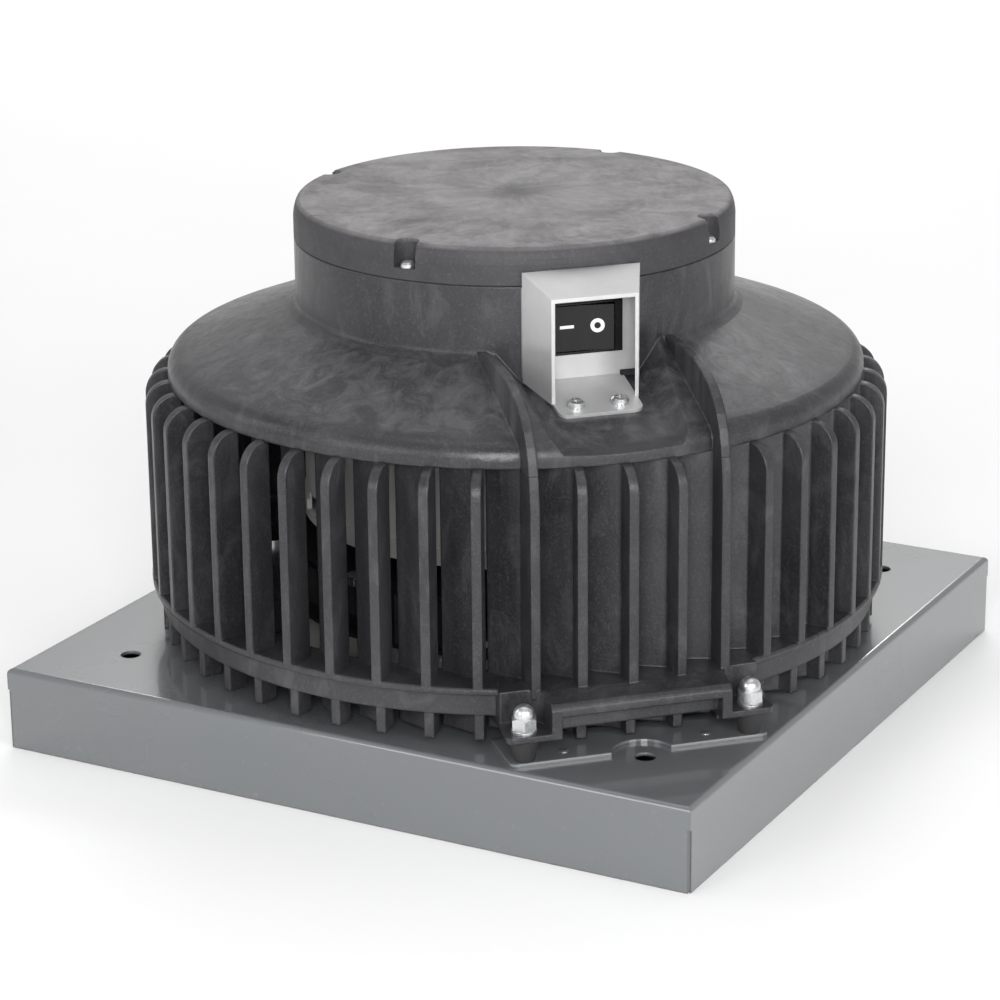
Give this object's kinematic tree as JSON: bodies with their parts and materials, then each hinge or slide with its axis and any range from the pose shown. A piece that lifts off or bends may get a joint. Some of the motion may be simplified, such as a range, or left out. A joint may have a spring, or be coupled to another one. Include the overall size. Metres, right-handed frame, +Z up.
{
  "type": "roof extract fan",
  "caption": "Low horizontal-discharge roof extract fan with a square folded base pan, finned round cowl, screwed service lid and hooded rocker switch.",
  "frame": {"origin": "middle of the underside of the square base pan", "axes": "+Z up along the motor shaft, X and Y along the sides of the base pan, the rocker switch looks towards the +X -Y corner"},
  "size_m": [0.34, 0.34, 0.2394],
  "materials": {
    "pan_paint": "semi-gloss powder coat",
    "cowl_plastic": "fine satin moulding",
    "lid_plastic": "mottled satin moulding",
    "zinc_sheet": "galvanised",
    "stainless": "satin",
    "zinc_bright": "bright zinc",
    "rubber": "matt",
    "switch_black": "semi-gloss",
    "mark_white": "matt",
    "nylon_black": "matt",
    "wheel_black": "matt",
    "aluminium": "cast",
    "steel_dark": "satin black",
    "lamination": "dull",
    "copper": "enamelled copper",
    "brass": "bright",
    "shell_white": "satin",
    "block_cream": "satin",
    "earth_green": "satin",
    "sheath_black": "matt",
    "core_brown": "satin",
    "lead_blue": "satin"
  },
  "bodies": {
    "housing": {"base_pan": "pan_paint", "inlet_ring": "zinc_sheet", "ring_rivets": "zinc_bright", "foot_brackets": "pan_paint", "bracket_rivets": "zinc_bright", "foot_buffers": "rubber", "foot_studs": "zinc_bright", "foot_washers": "zinc_bright", "cap_nuts": "zinc_bright", "cowl_grille": "cowl_plastic", "cowl_roof": "cowl_plastic", "lid": "lid_plastic", "lid_gasket": "rubber", "lid_screws": "zinc_bright", "switch_hood": "stainless", "hood_screws": "zinc_bright", "switch_body": "switch_black", "switch_tabs": "brass", "cable_gland": "nylon_black", "gland_nut": "nylon_black", "motor_drum": "zinc_sheet", "drum_screws": "zinc_bright", "motor_plate": "zinc_sheet", "motor_flange": "aluminium", "motor_screws": "zinc_bright", "stator_core": "lamination", "stator_winding": "copper", "bearings": "stainless", "capacitor": "shell_white", "capacitor_clamp": "zinc_sheet", "clamp_screw": "zinc_bright", "terminal_block": "block_cream", "terminal_screws": "brass", "block_screws": "zinc_bright", "earth_screw": "earth_green", "motor_lead": "sheath_black", "motor_cores": "core_brown", "switch_leads": "lead_blue"},
    "rotor": {"motor_shaft": "stainless", "rotor_cage": "aluminium", "rotor_can": "steel_dark", "impeller": "wheel_black", "impeller_rivets": "zinc_bright", "balance_clip": "zinc_bright"},
    "rocker": {"rocker": "switch_black", "rocker_marks": "mark_white"}
  },
  "joints": [
    {"name": "rotor_spin", "type": "hinge", "parent": "housing", "child": "rotor", "pos_m": [0, 0, 0.07], "axis": [0, 0, 1], "continuous": true},
    {"name": "rocker_tilt", "type": "hinge", "parent": "housing", "child": "rocker", "pos_m": [0.06753, -0.06753, 0.2023], "axis": [0, 0, 1], "range_deg": [0, 9]}
  ]
}
